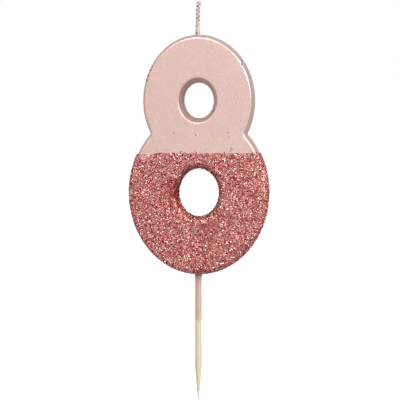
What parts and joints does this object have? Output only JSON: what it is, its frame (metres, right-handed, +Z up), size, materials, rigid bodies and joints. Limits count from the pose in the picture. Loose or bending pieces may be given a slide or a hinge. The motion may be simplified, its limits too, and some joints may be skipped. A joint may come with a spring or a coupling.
{
  "type": "number birthday candle",
  "caption": "Figure-eight numeral candle of cast wax, with a glittered lower half, a plaited wick on top and a wooden pick to push into a cake.",
  "frame": {"origin": "on the pick's axis at the foot of the glue collar, where the clean stretch of pick starts", "axes": "+Z up along the pick towards the wick, front face towards -Y, +X to the right seen from the front"},
  "size_m": [0.0422, 0.0096, 0.1188],
  "materials": {
    "pearl_wax": "satin pearl paint on cast candle wax",
    "glitter": "rose-gold flakes in clear glue",
    "glue": "clear craft glue with a few flakes",
    "pick_wood": "bare sanded wood, painted where it meets the numeral",
    "wick_wax": "translucent priming wax",
    "cotton": "waxed cotton yarn"
  },
  "bodies": {
    "root": {"wax_numeral": "pearl_wax", "glitter_coat": "glitter", "glue_collar": "glue", "pick": "pick_wood", "wick_wax": "wick_wax", "wick_strand_1": "cotton", "wick_strand_2": "cotton", "wick_strand_3": "cotton"}
  },
  "joints": []
}
